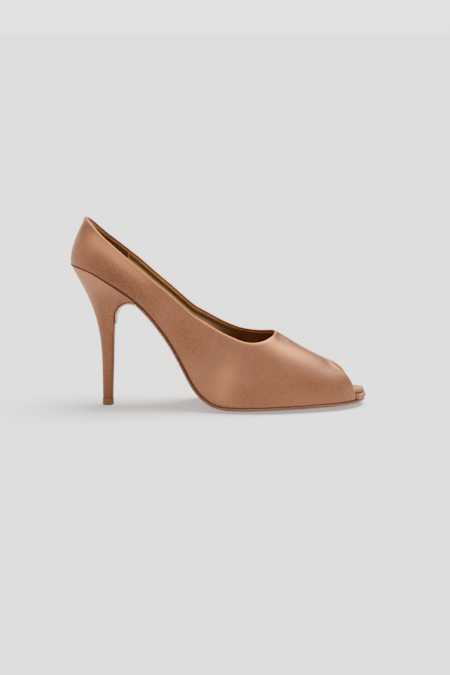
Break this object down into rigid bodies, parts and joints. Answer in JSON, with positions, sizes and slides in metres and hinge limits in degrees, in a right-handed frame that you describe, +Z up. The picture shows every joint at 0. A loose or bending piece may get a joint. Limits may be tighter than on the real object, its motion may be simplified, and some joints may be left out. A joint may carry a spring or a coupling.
{
  "type": "peep-toe pump",
  "caption": "Satin peep-toe pump for the right foot with a tall covered stiletto heel, low-cut collar and thin leather sole.",
  "frame": {"origin": "centre of the shoe's bounding box, on the floor that it stands on", "axes": "+X to the toe, +Y to the inner side of the right foot, +Z up"},
  "size_m": [0.2096, 0.0754, 0.135],
  "materials": {
    "upper_satin": "soft satin, rose brown",
    "board_satin": "soft satin, rose brown",
    "sock_leather": "smooth beige lining leather",
    "sole_leather": "smooth light sole leather with a tan edge",
    "heel_satin": "soft satin drawn over the heel block",
    "top_piece_rubber": "matt olive brown"
  },
  "bodies": {
    "root": {"upper": "upper_satin", "insole_board": "board_satin", "insole_sock": "sock_leather", "outsole": "sole_leather", "heel": "heel_satin", "top_piece": "top_piece_rubber"}
  },
  "joints": []
}
